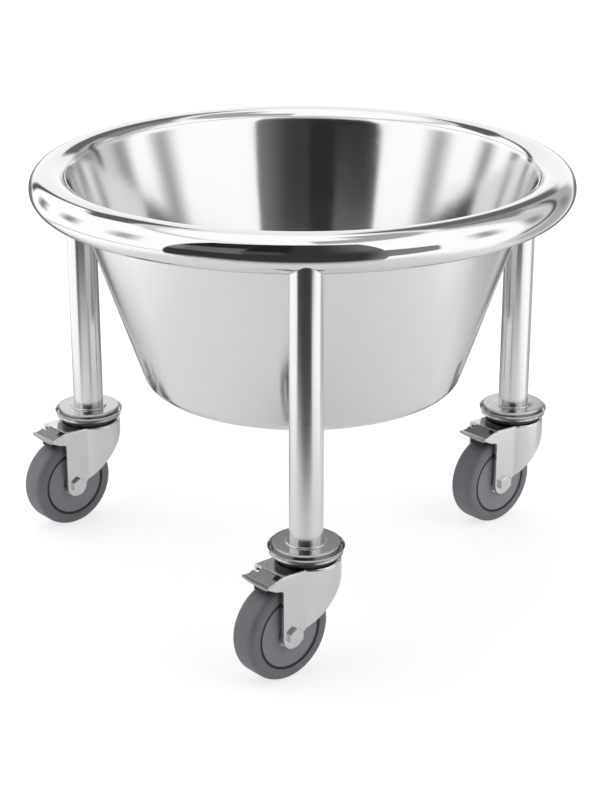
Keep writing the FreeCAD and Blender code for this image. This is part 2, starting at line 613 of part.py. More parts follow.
def make_fork(corner):
    """Yoke pressed from sheet: a round head, a flat crown with a raised race, and two cheeks that end in
    rounded bosses at the axle. A nose on the +Y cheek flanks the brake pedal."""
    body = new_body(f"{corner}_fork")
    setback = "-Sizes.fork_head_setback"
    head = new_sketch(body, "XY", f"{corner}_fork_head")
    circle(head, setback, "0", "Sizes.fork_head_radius")
    pad(body, head, "Places.crown_top")
    cheeks = new_sketch(body, "XY", f"{corner}_fork_cheeks")
    rectangle(cheeks, setback, "-Places.cheek_outer", "Places.nose_front", "Places.cheek_outer")
    pad(body, cheeks, "Places.crown_top")

    above = "Places.crown_top + Sizes.dome_rise"
    beyond = "Places.nose_front + Sizes.nose_length"
    nose_top = new_sketch(body, "XZ", f"{corner}_fork_nose_top")
    outline(nose_top, (
        ("Places.cheek_front", "Places.crown_top - Sizes.nose_top_drop"),
        ("Places.nose_front", "Places.crown_top - Sizes.nose_tip_drop"),
        (beyond, "Places.crown_top - Sizes.nose_tip_drop"),
        (beyond, above),
        ("Places.cheek_front", above),
    ))
    pocket(body, nose_top, symmetric=True)

    crown_top, crown_front = value("Places.crown_top"), value("Places.cheek_front")
    crease_x = value("Places.crease_x")
    dress(body, "Fillet", "Radius", "Sizes.fork_crease", lambda edge: flat_at(edge, "X", crease_x))
    dress(body, "Fillet", "Radius", "Sizes.fork_bend",
          lambda edge: flat_at(edge, "Z", crown_top) and not flat_at(edge, "X", crown_front))

    under = new_sketch(body, "XZ", f"{corner}_fork_under")
    behind = "Places.skirt_rear - Sizes.boss_radius"
    floor = "-Sizes.wheel_diameter"
    nose_under = "Places.crown_top - Sizes.nose_tip_drop - Sizes.nose_tip_depth"
    outline(under, (
        (behind, floor),
        (beyond, floor),
        (beyond, nose_under),
        ("Places.nose_front", nose_under),
        ("Places.cheek_front + Sizes.nose_length / 2",
         "Places.crown_top - Sizes.nose_depth + Sizes.nose_tip_depth"),
        ("Places.cheek_front", "Places.crown_top - Sizes.nose_depth", "Sizes.nose_root_radius"),
        ("Places.cheek_front", "Places.boss_bottom", "Sizes.boss_radius"),
        ("Places.boss_back", "Places.boss_bottom", "Sizes.boss_radius"),
        ("Places.boss_back", "Places.axle_height + Sizes.skirt_end_rise"),
        ("Places.skirt_rear", "Places.skirt_bottom"),
        (behind, "Places.skirt_bottom"),
    ))
    pocket(body, under, symmetric=True)

    hollow = new_sketch(body, "XY", f"{corner}_fork_hollow")
    circle(hollow, setback, "0", "Sizes.fork_head_radius - Sizes.fork_sheet")
    pocket(body, hollow, "Places.crown_under", reverse=True)
    slot = new_sketch(body, "XY", f"{corner}_fork_slot")
    rectangle(slot, setback, "-Places.cheek_inner", beyond, "Places.cheek_inner")
    pocket(body, slot, "Places.crown_under", reverse=True)
    mouth = new_sketch(body, "XY", f"{corner}_fork_mouth")
    rectangle(mouth, "Places.cheek_front", "-2 * Places.cheek_outer", beyond, "Places.cheek_inner")
    pocket(body, mouth, reverse=True)

    dome = new_sketch(body, "XY", f"{corner}_fork_dome", "Places.crown_top")
    circle(dome, "0", "0", "Sizes.dome_radius")
    pad(body, dome, "Sizes.dome_rise")
    dome_top = value("Places.dome_top")
    dress(body, "Fillet", "Radius", "Sizes.dome_edge_radius", lambda edge: flat_at(edge, "Z", dome_top))
    dished = new_sketch(body, "XY", f"{corner}_fork_dished", "Places.crown_under")
    circle(dished, "0", "0", "Sizes.dome_radius - Sizes.fork_sheet")
    pocket(body, dished, "Sizes.dome_rise", reverse=True)
    bore = new_sketch(body, "XY", f"{corner}_fork_bore")
    circle(bore, "0", "0", "Sizes.crown_bore_diameter / 2")
    pocket(body, bore, reverse=True)

    axle_hole = new_sketch(body, "XZ", f"{corner}_fork_axle_hole")
    circle(axle_hole, "Sizes.caster_trail", "Places.axle_height", "Places.axle_bore_radius")
    pocket(body, axle_hole, symmetric=True)
    pin_seats = new_sketch(body, "XZ", f"{corner}_fork_pin_seats")
    circle(pin_seats, "Places.pin_x", "Places.pin_height", "Sizes.pedal_pin_diameter / 2")
    pocket(body, pin_seats, "2 * Places.cheek_inner + 2 * Sizes.pedal_pin_seat", symmetric=True)
    put_on_caster(body, corner)
    return body


# ---------------------------------------------------------------------------------------------------
# Wheel and axle, modelled about the axle's centre: X is a radius and Y runs along the axle


def make_tyre(corner):
    body = new_body(f"{corner}_tyre")
    profile = new_sketch(body, "XY", f"{corner}_tyre_profile")
    side = "Sizes.wheel_width / 2"
    step = f"{side} - Sizes.groove_depth"
    tread = "Sizes.wheel_diameter / 2"
    outline(profile, (
        ("Places.hub_radius", f"-({step})"),
        ("Places.tyre_face_radius", f"-({step})"),
        ("Places.tyre_face_radius", f"-{side}"),
        (tread, f"-{side}", "Sizes.tread_radius"),
        (tread, side, "Sizes.tread_radius"),
        ("Places.tyre_face_radius", side),
        ("Places.tyre_face_radius", step),
        ("Places.hub_radius", step),
    ))
    revolve(body, profile)
    put_on_caster(body, corner, on_axle=True)
    return body


def make_wheel_hub(corner):
    """Flush disc with a seat for a bearing in each face."""
    body = new_body(f"{corner}_wheel_hub")
    profile = new_sketch(body, "XY", f"{corner}_hub_profile")
    side = "Sizes.wheel_width / 2"
    seat = "Sizes.bearing_diameter / 2"
    through = "Places.axle_bore_radius + Sizes.spacer_wall + Sizes.hub_clearance"
    outline(profile, (
        (through, "-Places.bearing_inner_face"),
        (seat, "-Places.bearing_inner_face"),
        (seat, f"-{side}"),
        ("Places.hub_radius", f"-{side}", "Sizes.hub_edge_radius"),
        ("Places.hub_radius", side, "Sizes.hub_edge_radius"),
        (seat, side),
        (seat, "Places.bearing_inner_face"),
        (through, "Places.bearing_inner_face"),
    ))
    revolve(body, profile)
    put_on_caster(body, corner, on_axle=True)
    return body


def make_rings(corner, name, rings):
    """Rings about the axle, each given as (inner radius, outer radius, start, end) along it."""
    body = new_body(f"{corner}_{name}")
    body.AllowCompound = True
    profile = new_sketch(body, "XY", f"{corner}_{name}_profile")
    for inner, outer, start, end in rings:
        rectangle(profile, inner, start, outer, end)
    revolve(body, profile)
    put_on_caster(body, corner, on_axle=True)
    return body


def make_wheel_bearings(corner):
    inner, outer = "Places.axle_bore_radius", "Sizes.bearing_diameter / 2"
    near, far = "Places.bearing_inner_face", "Places.bearing_outer_face"
    return make_rings(corner, "wheel_bearings", (
        (inner, outer, near, far),
        (inner, outer, f"-{far}", f"-{near}"),
    ))


def make_axle_spacers(corner):
    """One tube between the bearings and one from each bearing to its cheek."""
    inner = "Places.axle_bore_radius"
    outer = f"{inner} + Sizes.spacer_wall"
    middle = "(Places.bearing_inner_face - Sizes.side_play)"
    start = "(Places.bearing_outer_face + Sizes.side_play)"
    return make_rings(corner, "axle_spacers", (
        (inner, outer, f"-{middle}", middle),
        (inner, outer, start, "Places.cheek_inner"),
        (inner, outer, "-Places.cheek_inner", f"-{start}"),
    ))


def make_axle_bolt(corner):
    """Hexagon bolt whose head lies on the +Y cheek."""
    body = new_body(f"{corner}_axle_bolt")
    head = new_sketch(body, "XZ", f"{corner}_bolt_head", "-Places.cheek_outer")
    hexagon(head, "Sizes.axle_head_width")
    pad(body, head, "Sizes.axle_head_height", reverse=True)
    face = value("Places.cheek_outer + Sizes.axle_head_height")
    dress(body, "Chamfer", "Size", "Sizes.hexagon_chamfer", lambda edge: flat_at(edge, "Y", face))
    shank = new_sketch(body, "XZ", f"{corner}_bolt_shank", "-Places.cheek_outer")
    circle(shank, "0", "0", "Sizes.axle_diameter / 2")
    pad(body, shank, "2 * Places.cheek_outer + Sizes.axle_nut_height + Sizes.axle_end")
    put_on_caster(body, corner, on_axle=True)
    return body


def make_axle_nut(corner):
    body = new_body(f"{corner}_axle_nut")
    section = new_sketch(body, "XZ", f"{corner}_nut_section", "Places.cheek_outer")
    hexagon(section, "Sizes.axle_head_width")
    circle(section, "0", "0", "Sizes.axle_diameter / 2 + Sizes.thread_gap")
    pad(body, section, "Sizes.axle_nut_height")
    face = value("-Places.cheek_outer - Sizes.axle_nut_height")
    dress(body, "Chamfer", "Size", "Sizes.hexagon_chamfer",
          lambda edge: flat_at(edge, "Y", face) and len(edge.Vertexes) == 2)
    put_on_caster(body, corner, on_axle=True)
    return body


# ---------------------------------------------------------------------------------------------------
# Foot brake


def make_pedal_pin(corner):
    body = new_body(f"{corner}_pedal_pin")
    section = new_sketch(body, "XZ", f"{corner}_pin_section")
    circle(section, "Places.pin_x", "Places.pin_height", "Sizes.pedal_pin_diameter / 2")
    pad(body, section, "2 * Places.cheek_inner + 2 * Sizes.pedal_pin_seat", symmetric=True)
    put_on_caster(body, corner)
    return body


def make_brake_pedal(corner):
    """Bent plate with an eye round the pin. It comes up in front of the crown, falls away beside the nose
    and ends in a bowed tip, with a wing on the side that has no nose."""
    body = new_body(f"{corner}_brake_pedal")
    plate = new_sketch(body, "XZ", f"{corner}_pedal_plate")
    sheet = "Sizes.pedal_sheet"
    low = "Places.pedal_low_top"
    outline(plate, (
        ("Places.pin_x", "Places.pedal_under_top"),
        ("Places.pedal_under_start", "Places.pedal_under_top"),
        ("Places.pedal_low_x", "Places.pedal_low_under", "Sizes.pedal_sweep"),
        ("Places.pedal_tip", f"{low} - {sheet} + Sizes.pedal_upturn"),
        ("Places.pedal_tip", f"{low} + Sizes.pedal_upturn"),
        ("Places.pedal_low_x", low, "Sizes.pedal_sweep"),
        ("Places.pedal_plate_start", "Places.pedal_plate_top"),
        ("Places.pedal_plate_start", "Places.pedal_top"),
        ("Places.pin_x", "Places.pedal_top"),
    ))
    wing = "Sizes.pedal_wing_reach"
    pad(body, plate, f"2 * {wing}", symmetric=True)

    plan = new_sketch(body, "XY", f"{corner}_pedal_plan", "Places.axle_height")
    root = "Sizes.pedal_root_width / 2"
    full = "Places.pedal_half_width"
    start = "Places.pin_x - Sizes.pedal_eye_radius"
    squared_half = f"(({wing} + {full}) ^ 2 + Sizes.pedal_skew ^ 2) / 4"
    bow = f"({squared_half} + Sizes.pedal_bow ^ 2) / (2 * Sizes.pedal_bow)"
    outline(plan, (
        (start, f"-{root}"),
        ("Places.pedal_step_end", f"-{root}"),
        ("Places.pedal_step_end", f"-{full}"),
        ("Places.wing_start", f"-{full}"),
        ("Places.wing_end", f"-{wing}", None, bow),
        ("Places.pedal_near_end", full),
        ("Places.pedal_step_end", full),
        ("Places.pedal_step_end", root),
        (start, root),
    ))
    margin = f"2 * {wing}"
    rectangle(plan, f"Places.pin_x - {margin}", f"-{margin}", f"Places.pedal_tip + {margin}", margin)
    pocket(body, plan, reverse=True)

    eye = new_sketch(body, "XZ", f"{corner}_pedal_eye")
    circle(eye, "Places.pin_x", "Places.pin_height", "Sizes.pedal_eye_radius")
    pad(body, eye, "Sizes.pedal_root_width", symmetric=True)
    bore = new_sketch(body, "XZ", f"{corner}_pedal_bore")
    bore_radius = "Sizes.pedal_pin_diameter / 2 + Sizes.pedal_pin_clearance"
    circle(bore, "Places.pin_x", "Places.pin_height", bore_radius)
    pocket(body, bore, symmetric=True)
    put_on_caster(body, corner)
    return body


def make_brake_shoe(corner):
    """Block under the pedal's slope. Its lower face follows the tyre at a gap."""
    body = new_body(f"{corner}_brake_shoe")
    side = new_sketch(body, "XZ", f"{corner}_shoe_side")
    reach = "(Places.axle_height + Sizes.shoe_gap)"
    near = "Sizes.shoe_start"
    far = f"({near} + Sizes.shoe_length)"
    near_x, far_x = f"Sizes.caster_trail + {near}", f"Sizes.caster_trail + {far}"

    def under_pedal(x):
        return f"Places.pedal_under_top - ({x} - Places.pedal_under_start) * Places.pedal_under_slope"

    outline(side, (
        (near_x, under_pedal(near_x)),
        (near_x, f"Places.axle_height + sqrt({reach} ^ 2 - {near} ^ 2)", None, "-" + reach),
        (far_x, f"Places.axle_height + sqrt({reach} ^ 2 - {far} ^ 2)"),
        (far_x, under_pedal(far_x)),
    ))
    pad(body, side, "Sizes.shoe_width", symmetric=True)
    put_on_caster(body, corner)
    return body


# ---------------------------------------------------------------------------------------------------


def make_all():
    nodes = [make_bucket(), make_ring()]
    for corner in CORNERS:
        nodes += [
            make_leg(corner),
            make_foot_flange(corner),
            make_leg_plug(corner),
            make_kingpin_bolt(corner),
            make_lower_race(corner),
            make_dust_seal(corner),
            make_balls(corner, "upper_balls", "Places.dome_top", "upper_ball"),
            make_balls(corner, "lower_balls", "Places.race_top", "lower_ball"),
            make_fork(corner),
            make_axle_bolt(corner),
            make_axle_nut(corner),
            make_axle_spacers(corner),
            make_wheel_bearings(corner),
            make_wheel_hub(corner),
            make_tyre(corner),
            make_pedal_pin(corner),
            make_brake_pedal(corner),
            make_brake_shoe(corner),
        ]
    return nodes


def check(nodes):
    """Every object must have been built, and every node must be a sound solid."""
    doc.recompute()
    for item in doc.Objects:
        if "Invalid" in item.State or "Error" in item.State:
            raise RuntimeError(f"{item.Name} failed: {item.State}")
        if item.TypeId == "Sketcher::SketchObject" and not item.FullyConstrained:
            raise RuntimeError(f"{item.Name} is not fully constrained")
    for node in nodes:
        if node.Shape.isNull() or not node.Shape.isValid() or not node.Shape.Solids:
            raise RuntimeError(f"{node.Label} has no sound solid")


nodes = make_all()
check(nodes)
os.makedirs("parts", exist_ok=True)
for node in nodes:
    node.Shape.exportStep(f"parts/{node.Label}.step")
    print(f"{node.Label}: {len(node.Shape.Solids)} solid(s), {node.Shape.Volume / 1000:.2f} cm3")
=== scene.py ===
"""Surgical kick bucket: a spun steel bucket in a polished tube ring, on three legs with braked casters.

Metres, +Z up. The bucket's axis is the Z axis, the wheels stand on z = 0 and the front leg stands
towards -Y. Every piece is built in its place, so its object stays at the origin.
"""

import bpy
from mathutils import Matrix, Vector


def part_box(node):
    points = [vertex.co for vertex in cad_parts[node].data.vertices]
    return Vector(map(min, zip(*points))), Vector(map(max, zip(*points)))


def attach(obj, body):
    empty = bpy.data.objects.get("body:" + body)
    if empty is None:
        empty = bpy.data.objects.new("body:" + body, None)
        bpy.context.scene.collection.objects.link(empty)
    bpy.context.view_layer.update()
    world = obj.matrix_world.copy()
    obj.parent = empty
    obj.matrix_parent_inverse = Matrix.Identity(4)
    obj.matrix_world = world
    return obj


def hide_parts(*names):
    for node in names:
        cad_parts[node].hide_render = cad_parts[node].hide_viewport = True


bl_info = {
    "name": "Kick Bucket",
    "version": (1, 0, 0),
    "blender": (4, 5, 0),
    "location": "View3D > Sidebar > Kick Bucket",
    "description": "Builds the pieces and finishes of a wheeled kick bucket, and a small studio for it",
    "category": "Add Mesh",
}

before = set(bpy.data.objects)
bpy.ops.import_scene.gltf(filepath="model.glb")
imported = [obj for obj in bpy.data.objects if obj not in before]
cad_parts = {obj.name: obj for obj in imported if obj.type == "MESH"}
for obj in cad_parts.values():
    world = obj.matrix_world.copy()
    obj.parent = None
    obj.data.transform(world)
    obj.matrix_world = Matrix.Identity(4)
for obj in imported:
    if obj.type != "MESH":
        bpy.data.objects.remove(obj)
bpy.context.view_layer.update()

from math import acos, asin, atan2, ceil, cos, hypot, pi, radians, sin, sqrt, tan

import bmesh
import bpy
from bpy.props import FloatProperty, FloatVectorProperty, IntProperty, PointerProperty
from mathutils import Matrix, Vector

MM = 0.001
CORNERS = ("front", "left", "right")
FULL_TURN = 2 * pi
CRISP = radians(35)


# ---------------------------------------------------------------------------------------------------
# Places that the frame gives


def middle(node):
    """The centre of a CAD node's box."""
    low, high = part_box(node)
    return (low + high) / 2


RING_LOW, RING_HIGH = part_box("ring_tube")
RING_HEIGHT = (RING_LOW.z + RING_HIGH.z) / 2
TUBE_RADIUS = (RING_HIGH.z - RING_LOW.z) / 2
RING_RADIUS = RING_HIGH.x - TUBE_RADIUS
BUCKET_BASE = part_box("bucket")[0].z
FLANGE_LOW, FLANGE_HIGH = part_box("front_foot_flange")
FLANGE_RADIUS = (FLANGE_HIGH.x - FLANGE_LOW.x) / 2
LEG_RADIUS = (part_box("front_leg")[1].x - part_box("front_leg")[0].x) / 2
LEG_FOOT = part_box("front_leg")[0].z
WHEEL_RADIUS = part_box("front_tyre")[1].z / 2


def caster_frame(corner):
    """The caster's own frame: its origin lies on the floor under the kingpin, X points along the trail
    to the wheel, and Y points out of the side with the bolt's head."""
    pin, axle = middle(f"{corner}_leg_plug"), middle(f"{corner}_tyre")
    along = Vector((axle.x - pin.x, axle.y - pin.y, 0)).normalized()
    across = Vector((-along.y, along.x, 0))
    columns = Matrix((along, across, Vector((0, 0, 1)))).transposed().to_4x4()
    return Matrix.Translation((pin.x, pin.y, 0)) @ columns


def axle_frame(corner):
    """A frame about the middle of the axle, whose Z points out of the side with the bolt's head."""
    turned = Matrix(((1, 0, 0), (0, 0, 1), (0, -1, 0))).to_4x4()
    return Matrix.Translation(middle(f"{corner}_tyre")) @ caster_frame(corner).to_3x3().to_4x4() @ turned


# ---------------------------------------------------------------------------------------------------
# Meshes


def turned_profile(corners, run=None):
    """The points of a profile, given as (radius, height) or (radius, height, rounding) corners. Rounded
    corners become arcs, and a straight stretch is divided into runs of at most this length."""
    corners = [tuple(corner) + (0,) * (3 - len(corner)) for corner in corners]
    points = []
    for i, (x, z, rounding) in enumerate(corners):
        here = Vector((x, z))
        if not rounding:
            points.append(here)
            continue
        back = (Vector(corners[i - 1][:2]) - here).normalized()
        ahead = (Vector(corners[(i + 1) % len(corners)][:2]) - here).normalized()
        half = acos(max(-1, min(1, back.dot(ahead)))) / 2
        centre = here + (back + ahead).normalized() * (rounding / sin(half))
        first = here + back * (rounding / tan(half)) - centre
        sweep = (pi - 2 * half) * (1 if first.x * ahead.y - first.y * ahead.x > 0 else -1)
        pieces = max(3, ceil(abs(sweep) / radians(7)))
        for step in range(pieces + 1):
            turn = sweep * step / pieces
            points.append(centre + Vector((
                first.x * cos(turn) - first.y * sin(turn), first.x * sin(turn) + first.y * cos(turn))))
    if run is None:
        return points
    divided = []
    for start, end in zip(points, points[1:] + points[:1]):
        pieces = max(1, ceil((end - start).length / run))
        divided += [start.lerp(end, step / pieces) for step in range(pieces)]
    return divided


def spun(points, steps, place=Matrix(), closed=True):
    """Spins a profile, given as (radius, height) points, about the Z axis of its place."""
    bm = bmesh.new()
    verts = [bm.verts.new((x, 0, z)) for x, z in points]
    edges = [bm.edges.new(pair) for pair in zip(verts, verts[1:] + verts[:1])]
    if not closed:
        bm.edges.remove(edges.pop())
    bmesh.ops.spin(bm, geom=verts + edges, cent=(0, 0, 0), axis=(0, 0, 1), dvec=(0, 0, 0),
                   angle=FULL_TURN, steps=steps, use_merge=True, use_duplicate=False)
    bmesh.ops.remove_doubles(bm, verts=bm.verts, dist=1e-7)
    bmesh.ops.recalc_face_normals(bm, faces=bm.faces)
    bmesh.ops.transform(bm, matrix=place, verts=bm.verts)
    return bm


def finished(bm, name, body, nodes, material):
    """Makes the mesh an object that stands for CAD nodes and rides on their body. Edges that turn by more
    than the crisp angle stay sharp."""
    mesh = bpy.data.meshes.new(name)
    bm.to_mesh(mesh)
    bm.free()
    mesh.shade_smooth()
    mesh.set_sharp_from_angle(angle=CRISP)
    mesh.materials.append(material)
    piece = bpy.data.objects.new(name, mesh)
    bpy.context.scene.collection.objects.link(piece)
    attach(piece, body)
    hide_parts(*nodes)
    return piece


def rounded_copy(node, width):
    """A merged copy of a CAD node whose crisp edges are rounded off to this width."""
    bm = bmesh.new()
    bm.from_mesh(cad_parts[node].data)
    bmesh.ops.remove_doubles(bm, verts=bm.verts, dist=1e-6)
    bmesh.ops.dissolve_limit(bm, angle_limit=radians(0.5), use_dissolve_boundaries=False,
                             verts=bm.verts, edges=bm.edges, delimit=set())
    crisp = [edge for edge in bm.edges
             if len(edge.link_faces) == 2 and edge.calc_face_angle() > CRISP]
    bmesh.ops.bevel(bm, geom=crisp, offset=width, offset_type="OFFSET", affect="EDGES",
                    segments=2, profile=0.5, material=-1, clamp_overlap=True)
    bmesh.ops.recalc_face_normals(bm, faces=bm.faces)
    return bm


def weighted(piece):
    """Lets the large faces set the shading, so flat sheet stays flat up to its rounded edges."""
    modifier = piece.modifiers.new("face weights", "WEIGHTED_NORMAL")
    modifier.keep_sharp = True
    modifier.weight = 100


# ---------------------------------------------------------------------------------------------------
# Materials


def linear(code):
    """Linear colour of an sRGB hex value."""
    channels = [int(code[i:i + 2], 16) / 255 for i in (1, 3, 5)]
    return tuple(c / 12.92 if c <= 0.04045 else ((c + 0.055) / 1.055) ** 2.4 for c in channels)


def new_material(name):
    """A material with an empty tree, its tree and its output node."""
    material = bpy.data.materials.new(name)
    material.use_nodes = True
    tree = material.node_tree
    tree.nodes.clear()
    output = tree.nodes.new("ShaderNodeOutputMaterial")
    return material, tree, output


def add(tree, kind, settings=(), **inputs):
    """Adds a node. settings are its properties; inputs are values or sockets, by the input's name with
    an underscore for each space, or by its number as i0, i1 and so on."""
    item = tree.nodes.new("ShaderNode" + kind)
    for key, setting in dict(settings).items():
        setattr(item, key, setting)
    for key, given in inputs.items():
        socket = item.inputs[int(key[1:])] if key[0] == "i" and key[1:].isdigit() \
            else item.inputs[key.replace("_", " ")]
        if isinstance(given, bpy.types.NodeSocket):
            tree.links.new(given, socket)
        else:
            socket.default_value = given
    return item


def ramp(tree, factor, low, high, first, last):
    """Maps a noise's value onto a range of numbers."""
    return add(tree, "MapRange", Value=factor, From_Min=low, From_Max=high, To_Min=first,
               To_Max=last).outputs[0]


def steel_colour():
    """The colour of the ring, the legs and the bucket, with alpha."""
    return tuple(bpy.context.scene.kick_bucket_colours.steel) + (1.0,)


def mirror_stainless():
    """Stainless tube, bent and buffed to a mirror."""
    material, tree, output = new_material("mirror_stainless")
    place = add(tree, "TexCoord").outputs["Object"]
    # Buffing leaves faint clouds of haze about 30 mm across.
    haze = add(tree, "TexNoise", Vector=place, Scale=33, Detail=3, Roughness=0.5)
    # Bending and buffing leave the tube wavy over about 70 mm, so long reflections bend a little.
    wave = add(tree, "TexNoise", Vector=place, Scale=14, Detail=1)
    # Polishing scratches are 0.02 mm wide and are drawn 1 mm apart, as coarse as they need to show.
    scratch = add(tree, "TexNoise", Vector=place, Scale=1000, Detail=2)
    slow = add(tree, "Bump", Strength=0.12, Distance=0.4 * MM, Height=wave.outputs[0])
    fine = add(tree, "Bump", Strength=0.03, Distance=0.05 * MM, Height=scratch.outputs[0],
               Normal=slow.outputs[0])
    shader = add(tree, "BsdfPrincipled", Base_Color=steel_colour(), Metallic=1.0,
                 Roughness=ramp(tree, haze.outputs[0], 0.35, 0.7, 0.035, 0.085), Normal=fine.outputs[0])
    tree.links.new(shader.outputs[0], output.inputs[0])
    return material


def satin_stainless():
    """Stainless tube with a fine satin polish, which blurs what it reflects."""
    material, tree, output = new_material("satin_stainless")
    place = add(tree, "TexCoord").outputs["Object"]
    # The belt leaves short lines round the tube, drawn 0.5 mm apart, as coarse as they need to show.
    belt = add(tree, "Mapping", Vector=place, Scale=(120, 120, 2000))
    lines = add(tree, "TexNoise", Vector=belt.outputs[0], Scale=1, Detail=2)
    fine = add(tree, "Bump", Strength=0.03, Distance=0.05 * MM, Height=lines.outputs[0])
    shader = add(tree, "BsdfPrincipled", Base_Color=steel_colour(), Metallic=1.0,
                 Roughness=ramp(tree, lines.outputs[0], 0.3, 0.7, 0.19, 0.24), Normal=fine.outputs[0])
    tree.links.new(shader.outputs[0], output.inputs[0])
    return material


def spun_stainless():
    """Stainless sheet, spun on a lathe and satin polished while it turned."""
    material, tree, output = new_material("spun_stainless")
    place = add(tree, "TexCoord").outputs["Object"]
    # The polishing lines run round the bucket about 0.1 mm apart and are drawn 0.6 mm apart, as coarse
    # as they need to show: the pattern is squeezed along Z and drawn out round the axis.
    squeezed = add(tree, "Mapping", Vector=place, Scale=(20, 20, 1700))
    lines = add(tree, "TexNoise", Vector=squeezed.outputs[0], Scale=1, Detail=3)
    # Spinning leaves the wall wavy in tall flutes about 40 mm wide, which streak the reflections.
    flutes = add(tree, "Mapping", Vector=place, Scale=(30, 30, 5))
    flute = add(tree, "TexNoise", Vector=flutes.outputs[0], Scale=1, Detail=2)
    slow = add(tree, "Bump", Strength=0.12, Distance=0.8 * MM, Height=flute.outputs[0])
    fine = add(tree, "Bump", Strength=0.03, Distance=0.05 * MM, Height=lines.outputs[0],
               Normal=slow.outputs[0])
    # The lines blur reflections up and down far more than sideways.
    round_axis = add(tree, "Tangent", {"direction_type": "RADIAL", "axis": "Z"})
    shader = add(tree, "BsdfPrincipled", Base_Color=steel_colour(), Metallic=1.0,
                 Roughness=ramp(tree, lines.outputs[0], 0.3, 0.7, 0.11, 0.15), Anisotropic=0.8,
                 Anisotropic_Rotation=0.25, Normal=fine.outputs[0], Tangent=round_axis.outputs[0])
    tree.links.new(shader.outputs[0], output.inputs[0])
    return material


def pressed_stainless():
    """Stainless plate, pressed and polished, a little duller than the tube."""
    material, tree, output = new_material("pressed_stainless")
    place = add(tree, "TexCoord").outputs["Object"]
    haze = add(tree, "TexNoise", Vector=place, Scale=120, Detail=3)
    wave = add(tree, "TexNoise", Vector=place, Scale=60, Detail=1)
    slow = add(tree, "Bump", Strength=0.15, Distance=0.2 * MM, Height=wave.outputs[0])
    pressed = (*bpy.context.scene.kick_bucket_colours.flange, 1.0)
    shader = add(tree, "BsdfPrincipled", Base_Color=pressed, Metallic=1.0,
                 Roughness=ramp(tree, haze.outputs[0], 0.35, 0.7, 0.12, 0.18), Normal=slow.outputs[0])
    tree.links.new(shader.outputs[0], output.inputs[0])
    return material


def bright_zinc(name, colour, roughness):
    """Cold rolled steel with bright zinc plating: a soft, slightly cloudy shine."""
    material, tree, output = new_material(name)
    place = add(tree, "TexCoord").outputs["Object"]
    # The plating is cloudy over about 8 mm, and the rolled sheet under it has a grain of about 0.7 mm.
    cloud = add(tree, "TexNoise", Vector=place, Scale=125, Detail=4, Roughness=0.6)
    grain = add(tree, "TexNoise", Vector=place, Scale=1400, Detail=2)
    bump = add(tree, "Bump", Strength=0.03, Distance=0.05 * MM, Height=grain.outputs[0])
    shade = add(tree, "MixRGB", {"blend_type": "MULTIPLY"}, Fac=0.1, Color1=(*colour, 1.0),
                Color2=cloud.outputs[0])
    shader = add(tree, "BsdfPrincipled", Base_Color=shade.outputs[0], Metallic=1.0,
                 Roughness=ramp(tree, cloud.outputs[0], 0.3, 0.7, roughness - 0.02, roughness + 0.03),
                 Normal=bump.outputs[0])
    tree.links.new(shader.outputs[0], output.inputs[0])
    return material


def matte_compound(name, colour, roughness, grain_mm, depth):
    """Moulded rubber or plastic: even colour with a fine grain and a slightly cloudy sheen."""
    material, tree, output = new_material(name)
    place = add(tree, "TexCoord").outputs["Object"]
    cloud = add(tree, "TexNoise", Vector=place, Scale=60, Detail=4)
    grain = add(tree, "TexNoise", Vector=place, Scale=1 / (grain_mm * MM), Detail=2)
    bump = add(tree, "Bump", Strength=depth, Distance=0.1 * MM, Height=grain.outputs[0])
    shade = add(tree, "MixRGB", {"blend_type": "MULTIPLY"}, Fac=0.15, Color1=(*colour, 1.0),
                Color2=cloud.outputs[0])
    shader = add(tree, "BsdfPrincipled", Base_Color=shade.outputs[0],
                 Roughness=ramp(tree, cloud.outputs[0], 0.3, 0.7, roughness - 0.05, roughness + 0.05),
                 Normal=bump.outputs[0])
    tree.links.new(shader.outputs[0], output.inputs[0])
    return material


def finish(name):
    """A finish by its name, made when it is first asked for."""
    colours = bpy.context.scene.kick_bucket_colours
    makers = {
        "mirror_stainless": mirror_stainless,
        "satin_stainless": satin_stainless,
        "spun_stainless": spun_stainless,
        "pressed_stainless": pressed_stainless,
        "zinc_sheet": lambda: bright_zinc("zinc_sheet", colours.zinc, 0.17),
        "zinc_plate": lambda: bright_zinc("zinc_plate", colours.pedal, 0.22),
        "zinc_fastener": lambda: bright_zinc("zinc_fastener", colours.zinc, 0.13),
        "ground_steel": lambda: bright_zinc("ground_steel", colours.inner_steel, 0.25),
        "tyre_rubber": lambda: matte_compound("tyre_rubber", colours.rubber, 0.55, 0.6, 0.15),
        "grey_nylon": lambda: matte_compound("grey_nylon", colours.hub, 0.42, 0.9, 0.1),
        "black_rubber_and_groove_shade": lambda: matte_compound("black_rubber_and_groove_shade", colours.black, 0.6, 0.6, 0.15),
        "black_nylon": lambda: matte_compound("black_nylon", colours.black, 0.4, 0.9, 0.1),
    }
    return bpy.data.materials.get(name) or makers[name]()


# ---------------------------------------------------------------------------------------------------
# Sizes and colours that a user would change


def colour(name, code, description):
    """A colour property, from an sRGB hex value."""
    return FloatVectorProperty(name=name, description=description, subtype="COLOR", size=3, min=0, max=1,
                               default=linear(code))


def length(name, millimetres, description):
    """A length property, from millimetres."""
    return FloatProperty(name=name, description=description, unit="LENGTH", min=0, default=millimetres * MM)


